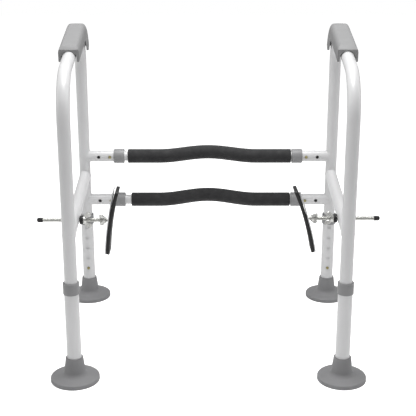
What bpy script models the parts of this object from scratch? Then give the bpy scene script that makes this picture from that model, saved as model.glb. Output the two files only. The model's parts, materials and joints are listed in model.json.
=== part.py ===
"""Toilet safety frame: two toed-in side frames on height-adjustable legs, joined behind the
user by two bowed, foam-covered crossbars, with a screw-fed clamp pad on each side.

Axes: +X to the right as seen from the front, +Y to the rear, +Z up. The origin is on the
floor at the centre of the whole frame. Metres and radians.
"""

import math

import bmesh
import bpy
from mathutils import Matrix, Vector

# ---- general --------------------------------------------------------------------------
GAP = 0.0003  # between faces that touch
RUNNING = 0.0006  # between a bore and what slides in it, on the radius
SIDES = ("left", "right")
SIGN = {"left": -1, "right": 1}
TUBE_SIDES = 14
FINE_SIDES = 16
HOLE_SIDES = 12
MERGE = 1e-5  # points nearer than this are one point
HOLE_START = 0.004  # a hole through one wall only is cut from this far off the axis

# ---- side frames ----------------------------------------------------------------------
HALF_WIDTH = 0.27395  # from the middle plane to a side frame, half way along it
TOE_IN = math.radians(2.59)  # the front legs stand closer together than the rear ones
LEG_SPACING = 0.4224  # front leg to rear leg, along the side frame
FRAME_OD = 0.0254
TUBE_WALL = 0.0012
HANDRAIL_HEIGHT = 0.620  # centre of the sloping top tube, half way along
HANDRAIL_SLOPE = math.radians(6.0)  # rising to the rear
FRONT_BEND_RADIUS = 0.088
REAR_BEND_RADIUS = 0.080
BEND_STEPS = 6
INNER_LEG_BOTTOM = 0.032
BRACE_HEIGHT = {"left": 0.3012, "right": 0.3046}
BRACE_OD = 0.0254

# ---- legs and feet --------------------------------------------------------------------
LEG_OD = 0.0286
LEG_BOTTOM = 0.010
LEG_TOP = 0.2035
LEG_COLLAR_OD = 0.0318
LEG_COLLAR_BOTTOM = 0.184
LEG_COLLAR_TOP = 0.2075
COLLAR_CHAMFER = 0.001
HOLE_PITCH = 0.0254
HOLE_COUNT = 5
LOWEST_HOLE = 0.076
BUTTON_RADIUS = 0.0032
BUTTON_PROUD = 0.0022  # how far a snap button stands out of the outer tube
FOOT_RADIUS = 0.0484
FOOT_RIM = 0.0058
FOOT_RIM_ROUNDING = 0.0024
FOOT_FILLET = 0.0155  # between the disc and the socket
FOOT_FILLET_CENTRE = (0.036, 0.0265)
SOCKET_OD = 0.034
SOCKET_TOP = 0.0495
SOCKET_CHAMFER = 0.001
CUP_DEPTH = 0.0035  # hollow under the foot
CUP_LIP = 0.004  # flat ring on which it stands
CUP_FLOOR_RADIUS = 0.030
LEAF_THICKNESS = 0.0008  # spring behind each snap button
LEAF_WIDTH = 0.005
LEAF_LENGTH = 0.034
BUTTON_SKIRT = 0.005  # the leaf runs on past the button by this
BUTTON_CHAMFER = 0.001

# ---- crossbars ------------------------------------------------------------------------
UPPER_BAR_HEIGHT = 0.3466
LOWER_BAR_HEIGHT = 0.2425
STUB_OD = 0.0254
STUB_END = 0.196  # from the middle plane to the open end of a stub
BAR_OD = 0.0222
BAR_END = 0.2445
BAR_BOW = 0.038  # how far the bar bows to the rear
BOW_HALF_LENGTH = 0.112
BOW_STEPS = 10
BAR_BUTTON = 0.2245  # snap button, in the inner hole of the stub
BAR_COLLAR_OD = 0.0325
BAR_COLLAR_INNER = 0.192
BAR_COLLAR_OUTER = 0.2155
FOAM_OD = 0.032
FOAM_LEFT_END = {"upper": 0.1835, "lower": 0.1775}
FOAM_RIGHT_END = {"upper": 0.1900, "lower": 0.1900}

# ---- handle grips ---------------------------------------------------------------------
GRIP_FRONT = -0.058  # along the side frame, on the sloping tube
GRIP_BEND_STEPS = 4  # steps of the rear bend that the grip wraps over
GRIP_WIDTH = 0.0408
GRIP_TOP = 0.0235  # above the tube's centre
GRIP_SKIRT = 0.008  # below the tube's centre
GRIP_FLAT = 0.022
GRIP_LIP = 0.0049
GRIP_SHOULDER = 0.0146  # height over which the top corners are rounded
GRIP_CORNER_STEPS = 4
GRIP_ARCH_STEPS = 8
GRIP_ARCH_DROP = 0.002
GRIP_NOSE = 0.007  # depth left upright at the front end, below the sloping nose
GRIP_NOSE_SLOPE = math.radians(40)

# ---- clamps ---------------------------------------------------------------------------
CLAMP_Y = -0.115  # forward of the leg-to-leg middle
ROD_OD = 0.008
CLAMP_REACH = 0.196  # middle plane to the pad's pivot pin
ROD_END = 0.337
ROD_CHAMFER = 0.001
CAP_OD = 0.0098
CAP_LENGTH = 0.012
CAP_COVER = 0.7  # share of the cap that covers the rod
WASHER_OD = 0.0175
WASHER_THICKNESS = 0.0064
WASHER_CHAMFER = 0.0008
EYE_THICKNESS = 0.006
EYE_RADIUS = 0.0024
EYE_LENGTH = 0.0046
NECK_SHARE = 0.96  # the eye's neck is a little narrower than the eye
PIN_RADIUS = 0.0012
EAR_THICKNESS = 0.0014  # lugs of the plate beside the rod's eye
PAD_HEIGHT = 0.133
PAD_WIDTH = 0.046
PLATE_OVERHANG = 0.001  # the plate is wider than the rubber by this on each side
PAD_CHAMFER = 0.0012
RUBBER_THICKNESS = 0.007
PLATE_THICKNESS = 0.002
PLATE_OFFSET = 0.0008  # from the pin's axis out to the plate
PLATE_FLARE = 0.003  # how far the plate's top stands off the rubber
PAD_BOW = 0.004
PAD_STEPS = 8
PAD_TILT = {"left": math.radians(9.5), "right": math.radians(16.5)}
POCKET_WIDTH = 0.0125
POCKET_HEIGHT = 0.011
POCKET_DEPTH = 0.0036
DRIVE_NUT = {"height": 0.0167, "span": 0.036, "hub": 0.008, "wing": 0.0055}
LOCK_NUT = {"height": 0.0132, "span": 0.027, "hub": 0.0068, "wing": 0.0045}
LOCK_NUT_STAND = 0.0078  # from the pad's pin to the lock nut
HUB_SHARE = 0.42  # of the nut's height
WING_THICKNESS = 0.0024
# how far each nut's upper wing leans to the front
DRIVE_NUT_TURN = {"left": math.radians(13), "right": math.radians(28)}
LOCK_NUT_TURN = {"left": math.radians(20), "right": math.radians(27)}

# ---- places worked out from the sizes above -------------------------------------------
FRONT_EDGE = -(LEG_SPACING / 2 * math.cos(TOE_IN) + FOOT_RADIUS)
REAR_LEG_Y = LEG_SPACING / 2 * math.cos(TOE_IN)
REAR_EDGE = max(-FRONT_EDGE, REAR_LEG_Y + BAR_BOW + FOAM_OD / 2)
CENTRE_Y = (FRONT_EDGE + REAR_EDGE) / 2
REAR_LEG_X = HALF_WIDTH + LEG_SPACING / 2 * math.sin(TOE_IN)
BAR_Y = REAR_LEG_Y - CENTRE_Y
BRACE_X = HALF_WIDTH + CLAMP_Y * math.tan(TOE_IN)  # brace centre where the rod crosses
WASHER_FACE = BRACE_X - BRACE_OD / 2 - GAP - WASHER_OD / 2 * math.sin(TOE_IN)
DRIVE_NUT_BASE = WASHER_FACE - WASHER_THICKNESS - GAP
LOCK_NUT_BASE = CLAMP_REACH + LOCK_NUT_STAND
BAR_HEIGHTS = {"upper": UPPER_BAR_HEIGHT, "lower": LOWER_BAR_HEIGHT}
LEG_PLACES = {"front": -LEG_SPACING / 2, "rear": LEG_SPACING / 2}

# ---- finishes: colour, roughness, metallic --------------------------------------------
FINISHES = {
    "white_paint": ((0.80, 0.80, 0.80), 0.35, 0.0),
    "grip_grey": ((0.38, 0.38, 0.385), 0.6, 0.0),
    "collar_grey": ((0.24, 0.24, 0.25), 0.55, 0.0),
    "foot_rubber": ((0.26, 0.26, 0.27), 0.7, 0.0),
    "foam_black": ((0.03, 0.03, 0.032), 0.85, 0.0),
    "rubber_black": ((0.015, 0.015, 0.016), 0.6, 0.0),
    "zinc_steel": ((0.68, 0.68, 0.66), 0.3, 1.0),
    "button_brass": ((0.42, 0.38, 0.20), 0.35, 1.0),
}


def clear_scene():
    for obj in list(bpy.data.objects):
        bpy.data.objects.remove(obj, do_unlink=True)


def material(name):
    """The named finish, made once."""
    found = bpy.data.materials.get(name)
    if found:
        return found
    colour, roughness, metallic = FINISHES[name]
    made = bpy.data.materials.new(name)
    made.use_nodes = True
    shader = made.node_tree.nodes["Principled BSDF"]
    shader.inputs["Base Color"].default_value = (*colour, 1)
    shader.inputs["Roughness"].default_value = roughness
    shader.inputs["Metallic"].default_value = metallic
    return made


def add_object(name, bm, finish, place=None, parent=None):
    """An object of the bmesh, which is freed, standing at place in its parent's space."""
    bmesh.ops.remove_doubles(bm, verts=bm.verts, dist=MERGE)
    bmesh.ops.recalc_face_normals(bm, faces=bm.faces)
    mesh = bpy.data.meshes.new(name)
    bm.to_mesh(mesh)
    bm.free()
    mesh.materials.append(material(finish))
    mesh.shade_smooth()
    mesh.set_sharp_from_angle(angle=math.radians(35))
    obj = bpy.data.objects.new(name, mesh)
    bpy.context.scene.collection.objects.link(obj)
    obj.parent = parent
    obj.matrix_local = place or Matrix()
    return obj


def add_helper(name, bm, place=None, parent=None):
    """A cutter or a piece to be joined on, which isn't a part by itself."""
    obj = add_object(name, bm, "zinc_steel", place, parent)
    obj.hide_render = True
    obj.display_type = "WIRE"
    return obj


def boolean(obj, helper, operation):
    modifier = obj.modifiers.new(helper.name, "BOOLEAN")
    modifier.operation = operation
    modifier.solver = "EXACT"
    modifier.object = helper


def axis_frame(origin, direction, side=(0, 1, 0)):
    """A frame with its Z along direction and its X as near as can be to side."""
    z = Vector(direction).normalized()
    y = z.cross(Vector(side)).normalized()
    x = y.cross(z)
    frame = Matrix((x, y, z)).transposed().to_4x4()
    frame.translation = Vector(origin)
    return frame


def frames_along(points, side):
    """A frame at each point of a flat path, square to it. side is the path plane's normal."""
    frames = []
    for i, point in enumerate(points):
        before = points[max(i - 1, 0)]
        after = points[min(i + 1, len(points) - 1)]
        frames.append(axis_frame(point, after - before, side))
    return frames


def sweep(bm, edges, frames):
    """Carries a closed ring of edges, drawn in the first frame, through all the others."""
    for here, there in zip(frames, frames[1:]):
        made = bmesh.ops.extrude_edge_only(bm, edges=edges)["geom"]
        verts = {item for item in made if isinstance(item, bmesh.types.BMVert)}
        edges = [
            item for item in made if isinstance(item, bmesh.types.BMEdge) and set(item.verts) <= verts
        ]
        bmesh.ops.transform(bm, matrix=there @ here.inverted(), verts=list(verts))
    return edges


def circle(bm, radius, sides, frame):
    made = bmesh.ops.create_circle(bm, segments=sides, radius=radius, matrix=frame)
    return list({edge for vert in made["verts"] for edge in vert.link_edges})


def outline(bm, points, frame):
    """A closed ring of edges through (x, y) points of the frame."""
    verts = [bm.verts.new(frame @ Vector((x, y, 0))) for x, y in points]
    return [bm.edges.new((a, b)) for a, b in zip(verts, verts[1:] + verts[:1])]


def pipe(outer, inner, sides, frames):
    """A hollow tube: a ring carried out along the frames, drawn in, and carried back inside."""
    bm = bmesh.new()
    shrink = Matrix.Diagonal((inner / outer, inner / outer, 1, 1))
    inside = [frame @ shrink for frame in reversed(frames)]
    sweep(bm, circle(bm, outer, sides, frames[0]), [*frames, *inside, frames[0]])
    return bm


def bar(points, frames):
    """A solid bar of the outline drawn by points, through the frames."""
    bm = bmesh.new()
    start = outline(bm, points, frames[0])
    end = sweep(bm, start, frames)
    bmesh.ops.edgeloop_fill(bm, edges=start)
    bmesh.ops.edgeloop_fill(bm, edges=end)
    return bm


def turned(profile, sides, closed):
    """A profile of (radius, height) points, turned about Z."""
    bm = bmesh.new()
    verts = [bm.verts.new((radius, 0, height)) for radius, height in profile]
    pairs = list(zip(verts, verts[1:]))
    if closed:
        pairs.append((verts[-1], verts[0]))
    edges = [bm.edges.new(pair) for pair in pairs]
    bmesh.ops.spin(
        bm, geom=verts + edges, cent=(0, 0, 0), axis=(0, 0, 1), angle=math.tau, steps=sides, use_merge=True
    )
    return bm


def cylinder(bm, radius, frame, start, end, sides=HOLE_SIDES):
    """A solid cylinder on the frame's Z axis."""
    middle = frame @ Matrix.Translation((0, 0, (start + end) / 2))
    bmesh.ops.create_cone(
        bm, cap_ends=True, segments=sides, radius1=radius, radius2=radius, depth=end - start, matrix=middle
    )


def box(bm, low, high):
    low, high = Vector(low), Vector(high)
    made = bmesh.ops.create_cube(bm, size=1)
    bmesh.ops.scale(bm, vec=high - low, verts=made["verts"])
    bmesh.ops.translate(bm, vec=(low + high) / 2, verts=made["verts"])


def arc(centre, radius, start, end, steps):
    """Points of an arc given by its tangent's direction at both ends, turning clockwise."""
    turns = [start + (end - start) * i / steps for i in range(steps + 1)]
    return [
        (centre[0] - radius * math.sin(turn), centre[1] + radius * math.cos(turn)) for turn in turns
    ]


def handrail_z(along):
    return HANDRAIL_HEIGHT + along * math.tan(HANDRAIL_SLOPE)


def bend_arc(place):
    """The centre line of one bend, as (along, height) points, front to rear."""
    corner = LEG_PLACES[place]
    if place == "front":
        reach = FRONT_BEND_RADIUS * math.tan((math.pi / 2 - HANDRAIL_SLOPE) / 2)
        centre = (corner + FRONT_BEND_RADIUS, handrail_z(corner) - reach)
        return arc(centre, FRONT_BEND_RADIUS, math.pi / 2, HANDRAIL_SLOPE, BEND_STEPS)
    reach = REAR_BEND_RADIUS * math.tan((math.pi / 2 + HANDRAIL_SLOPE) / 2)
    centre = (corner - REAR_BEND_RADIUS, handrail_z(corner) - reach)
    return arc(centre, REAR_BEND_RADIUS, HANDRAIL_SLOPE, -math.pi / 2, BEND_STEPS)


def side_points(pairs):
    """(along, height) pairs as points in a side frame's space."""
    return [Vector((0, along, height)) for along, height in pairs]


def add_side_empty(side):
    """The side frame's own space: Y runs along it to the rear."""
    empty = bpy.data.objects.new(side + "_side_space", None)
    bpy.context.scene.collection.objects.link(empty)
    empty.location = (SIGN[side] * HALF_WIDTH, -CENTRE_Y, 0)
    empty.rotation_euler = (0, 0, -SIGN[side] * TOE_IN)
    bpy.context.view_layer.update()
    return empty


def leg_hole_direction(place):
    """The holes of the front and rear legs face each other."""
    return 1 if place == "front" else -1


def add_side_tube(side, space):
    """The bent tube: inner front leg, handrail and inner rear leg in one piece."""
    pairs = [(LEG_PLACES["front"], INNER_LEG_BOTTOM), *bend_arc("front")]
    pairs += [*bend_arc("rear"), (LEG_PLACES["rear"], INNER_LEG_BOTTOM)]
    frames = frames_along(side_points(pairs), (-1, 0, 0))
    frames[0] = axis_frame(frames[0].translation, (0, 0, 1), (-1, 0, 0))
    frames[-1] = axis_frame(frames[-1].translation, (0, 0, -1), (-1, 0, 0))
    bm = pipe(FRAME_OD / 2, FRAME_OD / 2 - TUBE_WALL, TUBE_SIDES, frames)
    tube = add_object(side + "_side_frame_tube", bm, "white_paint", parent=space)
    cutter = bmesh.new()
    for place, along in LEG_PLACES.items():
        hole = axis_frame((0, along, LOWEST_HOLE), (0, leg_hole_direction(place), 0), (1, 0, 0))
        cylinder(cutter, BUTTON_RADIUS + RUNNING, hole, HOLE_START, FRAME_OD)
    boolean(tube, add_helper(side + "_button_hole_cutter", cutter, parent=space), "DIFFERENCE")


def leg_saddle_cutter(name, place, length_from, length_to):
    """A cutter of a leg's own outside, for the shaped end of a tube welded to it."""
    bm = bmesh.new()
    cylinder(bm, FRAME_OD / 2 + GAP, place, length_from, length_to, 2 * FINE_SIDES)
    return add_helper(name, bm)


def leg_axis(side, place):
    """A leg's foot point on the floor, in the object's space."""
    along = LEG_PLACES[place]
    x = SIGN[side] * (HALF_WIDTH + along * math.sin(TOE_IN))
    return Vector((x, along * math.cos(TOE_IN) - CENTRE_Y, 0))


def add_brace(side, space):
    """The level tube welded between the legs, bored for the clamp's rod."""
    height = BRACE_HEIGHT[side]
    ends = [Vector((0, LEG_PLACES[place], height)) for place in ("front", "rear")]
    bm = pipe(BRACE_OD / 2, BRACE_OD / 2 - TUBE_WALL, TUBE_SIDES, frames_along(ends, (-1, 0, 0)))
    brace = add_object(side + "_brace_tube", bm, "white_paint", parent=space)
    for place in LEG_PLACES:
        leg = Matrix.Translation(leg_axis(side, place))
        name = f"{side}_{place}_brace_saddle"
        saddle = leg_saddle_cutter(name, leg, height - BRACE_OD, height + BRACE_OD)
        boolean(brace, saddle, "DIFFERENCE")
    bore = bmesh.new()
    cylinder(bore, ROD_OD / 2 + RUNNING, clamp_frame(side, BRACE_X), -BRACE_OD, BRACE_OD)
    boolean(brace, add_helper(side + "_rod_bore_cutter", bore), "DIFFERENCE")


def grip_outline():
    """The grip's section: across, and up from the tube's centre."""
    half, flat = GRIP_WIDTH / 2, GRIP_FLAT / 2
    spring = GRIP_TOP - GRIP_SHOULDER
    arch = FRAME_OD / 2 + RUNNING + GAP + GRIP_ARCH_DROP
    right = [(half - GRIP_LIP, -GRIP_SKIRT), (half, -GRIP_SKIRT)]
    for i in range(GRIP_CORNER_STEPS + 1):
        turn = math.pi / 2 * i / GRIP_CORNER_STEPS
        right.append((flat + (half - flat) * math.cos(turn), spring + GRIP_SHOULDER * math.sin(turn)))
    left = [(-x, y) for x, y in reversed(right)]
    under = []
    for i in range(1, GRIP_ARCH_STEPS):
        turn = math.pi * (1 - i / GRIP_ARCH_STEPS)
        under.append(((half - GRIP_LIP) * math.cos(turn), arch * math.sin(turn) - GRIP_ARCH_DROP))
    return right + left + under


def add_grip(side, space):
    """The saddle-shaped hand grip over the sloping tube and part of the rear bend."""
    start = (GRIP_FRONT, handrail_z(GRIP_FRONT))
    pairs = [start, *bend_arc("rear")[: GRIP_BEND_STEPS + 1]]
    all_pairs = [start, *bend_arc("rear")]
    frames = frames_along(side_points(all_pairs), (-1, 0, 0))[: len(pairs)]
    frames[0] = axis_frame(
        frames[0].translation, (0, math.cos(HANDRAIL_SLOPE), math.sin(HANDRAIL_SLOPE)), (-1, 0, 0)
    )
    bm = bar(grip_outline(), frames)
    grip = add_object(side + "_handle_grip", bm, "grip_grey", parent=space)
    nose = bmesh.new()
    box(nose, (-GRIP_WIDTH, -GRIP_WIDTH, 0), (GRIP_WIDTH, 0, GRIP_WIDTH))
    tip = frames[0] @ Matrix.Translation((0, GRIP_TOP - GRIP_NOSE, 0))
    tip = tip @ Matrix.Rotation(math.pi / 2 - GRIP_NOSE_SLOPE, 4, "X")
    boolean(grip, add_helper(side + "_grip_nose_cutter", nose, tip, space), "DIFFERENCE")


def leg_space(space, place, name):
    """An empty on a leg's axis, which its sliding pieces hang from."""
    empty = bpy.data.objects.new(name, None)
    bpy.context.scene.collection.objects.link(empty)
    empty.parent = space
    empty.location = (0, LEG_PLACES[place], 0)
    bpy.context.view_layer.update()
    return empty


def add_lower_leg(name, place, space):
    """The outer leg tube, with its row of adjusting holes."""
    frames = [Matrix.Translation((0, 0, z)) for z in (LEG_BOTTOM, LEG_TOP)]
    bm = pipe(LEG_OD / 2, LEG_OD / 2 - TUBE_WALL, TUBE_SIDES, frames)
    leg = add_object(name + "_lower_leg", bm, "white_paint", parent=space)
    cutter = bmesh.new()
    for step in range(HOLE_COUNT):
        centre = (0, 0, LOWEST_HOLE + step * HOLE_PITCH)
        hole = axis_frame(centre, (0, leg_hole_direction(place), 0), (1, 0, 0))
        cylinder(cutter, BUTTON_RADIUS + RUNNING, hole, HOLE_START, LEG_OD)
    boolean(leg, add_helper(name + "_leg_hole_cutter", cutter, parent=space), "DIFFERENCE")


def add_leg_collar(name, space):
    """The ring over the top of the lower leg, which guides the inner tube."""
    outer, grips, guides = LEG_COLLAR_OD / 2, LEG_OD / 2 + GAP, FRAME_OD / 2 + GAP
    step = LEG_TOP + GAP
    profile = [
        (grips, LEG_COLLAR_BOTTOM),
        (outer, LEG_COLLAR_BOTTOM),
        (outer, LEG_COLLAR_TOP - COLLAR_CHAMFER),
        (outer - COLLAR_CHAMFER, LEG_COLLAR_TOP),
        (guides, LEG_COLLAR_TOP),
        (guides, step),
        (grips, step),
    ]
    add_object(name + "_leg_collar", turned(profile, FINE_SIDES, True), "collar_grey", parent=space)


def foot_profile():
    """Half of the foot's section: flared disc, hollow fillet, tapered socket, bore and cup."""
    fillet_x, fillet_z = FOOT_FILLET_CENTRE
    rim = FOOT_RIM_ROUNDING
    points = [(0, CUP_DEPTH), (CUP_FLOOR_RADIUS, CUP_DEPTH), (FOOT_RADIUS - CUP_LIP, 0), (FOOT_RADIUS, 0)]
    for i in range(3):
        turn = math.pi / 2 * i / 2
        points.append((FOOT_RADIUS - rim + rim * math.cos(turn), FOOT_RIM + rim * math.sin(turn)))
    for i in range(5):
        turn = math.radians(258 - 78 * i / 4)
        x, z = FOOT_FILLET * math.cos(turn), FOOT_FILLET * math.sin(turn)
        points.append((fillet_x + x, fillet_z + z))
    socket, bore = SOCKET_OD / 2, LEG_OD / 2 + GAP
    points += [(socket, SOCKET_TOP - SOCKET_CHAMFER), (socket - SOCKET_CHAMFER, SOCKET_TOP)]
    points += [(bore, SOCKET_TOP), (bore, LEG_BOTTOM - GAP), (0, LEG_BOTTOM - GAP)]
    return points


def add_foot(name, space):
    add_object(name + "_foot", turned(foot_profile(), FINE_SIDES, False), "foot_rubber", parent=space)


def add_snap_button(name, bore, tip, place, parent=None):
    """A button on a bent leaf spring. Y of the place points out of the hole, Z along the tube."""
    half, deep, length = LEAF_WIDTH / 2, LEAF_THICKNESS / 2, LEAF_LENGTH
    back = bore - 1.5 * LEAF_THICKNESS
    bend = back * 0.28
    path = [(back, -BUTTON_SKIRT), (back, length * 0.72), (back - bend, length * 0.94)]
    path += [(back - 2 * bend, length), (back - 3 * bend, length * 0.9), (-back * 0.65, 0.1 * length)]
    points = [Vector((0, y, z)) for y, z in path]
    section = [(-half, -deep), (half, -deep), (half, deep), (-half, deep)]
    bm = bar(section, frames_along(points, (-1, 0, 0)))
    button = add_object(name + "_snap_button", bm, "button_brass", place, parent)
    profile = [(0, back), (BUTTON_RADIUS, back), (BUTTON_RADIUS, tip - BUTTON_CHAMFER)]
    profile += [(BUTTON_RADIUS - BUTTON_CHAMFER, tip - BUTTON_CHAMFER / 4), (0, tip)]
    outward = place @ axis_frame((0, 0, 0), (0, 1, 0), (1, 0, 0))
    head = add_helper(name + "_button_head", turned(profile, HOLE_SIDES, False), outward, parent)
    boolean(button, head, "UNION")


def add_leg(side, place, space):
    name = f"{side}_{place}"
    sliding = leg_space(space, place, name + "_leg_space")
    add_lower_leg(name, place, sliding)
    add_leg_collar(name, sliding)
    add_foot(name, sliding)
    turn = 0 if place == "front" else math.pi
    at = Matrix.Translation((0, LEG_PLACES[place], LOWEST_HOLE)) @ Matrix.Rotation(turn, 4, "Z")
    add_snap_button(name + "_leg", FRAME_OD / 2 - TUBE_WALL, LEG_OD / 2 + BUTTON_PROUD, at, space)


def bow(x):
    """How far back the crossbar lies at x."""
    if abs(x) >= BOW_HALF_LENGTH:
        return 0.0
    return BAR_BOW * (1 + math.cos(math.pi * x / BOW_HALF_LENGTH)) / 2


def bar_points(left, right, height):
    bowed = [BOW_HALF_LENGTH * (2 * i / BOW_STEPS - 1) for i in range(BOW_STEPS + 1)]
    return [Vector((x, BAR_Y + bow(x), height)) for x in [-left, *bowed, right]]


def add_crossbar(level):
    """The bowed inner tube, with a hole for a snap button near each end, and its foam."""
    height = BAR_HEIGHTS[level]
    frames = frames_along(bar_points(BAR_END, BAR_END, height), (0, 0, 1))
    bm = pipe(BAR_OD / 2, BAR_OD / 2 - TUBE_WALL, TUBE_SIDES, frames)
    tube = add_object(level + "_crossbar_tube", bm, "white_paint")
    cutter = bmesh.new()
    for sign in SIGN.values():
        hole = axis_frame((sign * BAR_BUTTON, BAR_Y, height), (0, -1, 0), (1, 0, 0))
        cylinder(cutter, BUTTON_RADIUS + RUNNING, hole, HOLE_START, BAR_OD)
    boolean(tube, add_helper(level + "_bar_hole_cutter", cutter), "DIFFERENCE")
    points = bar_points(FOAM_LEFT_END[level], FOAM_RIGHT_END[level], height)
    bm = pipe(FOAM_OD / 2, BAR_OD / 2 + RUNNING, TUBE_SIDES, frames_along(points, (0, 0, 1)))
    add_object(level + "_foam_sleeve", bm, "foam_black")


def add_stub(side, level):
    """The outer tube welded to the rear leg, with two holes for the crossbar's button."""
    sign, height = SIGN[side], BAR_HEIGHTS[level]
    name = f"{side}_{level}"
    ends = [Vector((sign * STUB_END, BAR_Y, height)), Vector((sign * REAR_LEG_X, BAR_Y, height))]
    bm = pipe(STUB_OD / 2, STUB_OD / 2 - TUBE_WALL, TUBE_SIDES, frames_along(ends, (0, 0, 1)))
    stub = add_object(name + "_stub_tube", bm, "white_paint")
    leg = Matrix.Translation(leg_axis(side, "rear"))
    saddle = leg_saddle_cutter(name + "_stub_saddle", leg, height - STUB_OD, height + STUB_OD)
    boolean(stub, saddle, "DIFFERENCE")
    cutter = bmesh.new()
    for reach in (BAR_BUTTON, BAR_BUTTON + HOLE_PITCH):
        hole = axis_frame((sign * reach, BAR_Y, height), (0, -1, 0), (1, 0, 0))
        cylinder(cutter, BUTTON_RADIUS + RUNNING, hole, HOLE_START, STUB_OD)
    boolean(stub, add_helper(name + "_stub_hole_cutter", cutter), "DIFFERENCE")


def add_bar_collar(side, level):
    """The ring over the stub's open end, which guides the crossbar."""
    outer, grips, guides = BAR_COLLAR_OD / 2, STUB_OD / 2 + GAP, BAR_OD / 2 + GAP
    length, step = BAR_COLLAR_OUTER - BAR_COLLAR_INNER, STUB_END - BAR_COLLAR_INNER - GAP
    profile = [
        (guides, 0),
        (outer - COLLAR_CHAMFER, 0),
        (outer, COLLAR_CHAMFER),
        (outer, length),
        (grips, length),
        (grips, step),
        (guides, step),
    ]
    start = (SIGN[side] * BAR_COLLAR_INNER, BAR_Y, BAR_HEIGHTS[level])
    place = axis_frame(start, (SIGN[side], 0, 0))
    add_object(f"{side}_{level}_bar_collar", turned(profile, FINE_SIDES, True), "collar_grey", place)


def add_bar_button(side, level):
    centre = (SIGN[side] * BAR_BUTTON, BAR_Y, BAR_HEIGHTS[level])
    inward = Vector((-SIGN[side], 0, 0))
    outward = Vector((0, -1, 0))
    place = Matrix((outward.cross(inward), outward, inward)).transposed().to_4x4()
    place.translation = Vector(centre)
    tip = STUB_OD / 2 + BUTTON_PROUD
    add_snap_button(f"{side}_{level}_bar", BAR_OD / 2 - TUBE_WALL, tip, place)


def clamp_frame(side, reach):
    """A frame on the rod's axis, reach from the middle plane, with its Z pointing outwards."""
    centre = (SIGN[side] * reach, CLAMP_Y - CENTRE_Y, BRACE_HEIGHT[side])
    return axis_frame(centre, (SIGN[side], 0, 0), (0, 1, 0))


def add_rod(side):
    """The threaded rod. Its inner end is flattened to an eye for the pad's pin."""
    length = ROD_END - CLAMP_REACH
    profile = [(0, EYE_LENGTH), (ROD_OD / 2, EYE_LENGTH), (ROD_OD / 2, length - ROD_CHAMFER)]
    profile += [(ROD_OD / 2 - ROD_CHAMFER, length), (0, length)]
    place = clamp_frame(side, CLAMP_REACH)
    rod = add_object(side + "_clamp_rod", turned(profile, HOLE_SIDES, False), "zinc_steel", place)
    tang = bmesh.new()
    across = axis_frame((0, 0, 0), (1, 0, 0), (0, 1, 0))
    cylinder(tang, EYE_RADIUS, across, -EYE_THICKNESS / 2, EYE_THICKNESS / 2, HOLE_SIDES)
    boolean(rod, add_helper(side + "_rod_eye_end", tang, place), "UNION")
    neck = bmesh.new()
    half, deep = EYE_THICKNESS / 2 - MERGE, EYE_RADIUS * NECK_SHARE
    box(neck, (-half, -deep, 0), (half, deep, EYE_LENGTH + ROD_CHAMFER / 2))
    boolean(rod, add_helper(side + "_rod_eye_neck", neck, place), "UNION")
    hole = bmesh.new()
    cylinder(hole, PIN_RADIUS + GAP, across, -EYE_THICKNESS, EYE_THICKNESS)
    boolean(rod, add_helper(side + "_rod_eye_cutter", hole, place), "DIFFERENCE")


def add_rod_cap(side):
    """The rounded cap over the rod's outer end."""
    outer, bore, start = CAP_OD / 2, ROD_OD / 2 + GAP, ROD_END - CAP_LENGTH * CAP_COVER
    end = start + CAP_LENGTH
    floor = ROD_END + GAP
    profile = [(0, floor), (bore, floor), (bore, start), (outer, start), (outer, end - outer)]
    for i in range(1, 4):
        turn = math.pi / 2 * i / 3
        profile.append((outer * math.cos(turn), end - outer + outer * math.sin(turn)))
    bm = turned(profile, HOLE_SIDES, False)
    add_object(side + "_rod_cap", bm, "rubber_black", clamp_frame(side, 0))


def add_washer(side):
    """The thick washer between the brace and the driving nut."""
    bore, outer, thick = ROD_OD / 2 + GAP, WASHER_OD / 2, WASHER_THICKNESS
    inner = outer - WASHER_CHAMFER
    profile = [(bore, 0), (inner, 0), (outer, WASHER_CHAMFER), (outer, thick - WASHER_CHAMFER)]
    profile += [(inner, thick), (bore, thick)]
    bm = turned(profile, TUBE_SIDES, True)
    place = clamp_frame(side, WASHER_FACE - WASHER_THICKNESS)
    add_object(side + "_brace_washer", bm, "rubber_black", place)


def wing_outline(sizes, sign):
    """A wing seen from its flat side: an arm that rises from the hub to a round end."""
    hub, wing, hub_height = sizes["hub"], sizes["wing"], sizes["height"] * HUB_SHARE
    centre_x, centre_z = sizes["span"] / 2 - wing, sizes["height"] - wing
    points = [(hub * 0.75, hub_height * 0.95), (hub * 0.75, hub_height * 0.2)]
    for degrees in range(-60, 141, 25):
        turn = math.radians(degrees)
        points.append((centre_x + wing * math.cos(turn), centre_z + wing * math.sin(turn)))
    return [(sign * x, z) for x, z in points]


def add_wing_nut(name, sizes, place):
    """A hub with two round wings, its base at the place's origin and its wings along Z."""
    bore, hub, hub_height = ROD_OD / 2 + GAP, sizes["hub"], sizes["height"] * HUB_SHARE
    profile = [(bore, 0), (hub, 0), (hub, hub_height * 0.35), (hub * 0.8, hub_height), (bore, hub_height)]
    nut = add_object(name, turned(profile, TUBE_SIDES, True), "zinc_steel", place)
    half = WING_THICKNESS / 2
    faces = [axis_frame((0, y, 0), (0, 1, 0), (-1, 0, 0)) for y in (-half, half)]
    for sign in SIGN.values():
        wing = add_helper(f"{name}_wing_{sign + 1}", bar(wing_outline(sizes, sign), faces), place)
        boolean(nut, wing, "UNION")
    bored = bmesh.new()
    cylinder(bored, bore, Matrix(), -0.001, sizes["height"] + 0.001, TUBE_SIDES)
    boolean(nut, add_helper(name + "_bore_cutter", bored, place), "DIFFERENCE")


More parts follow.
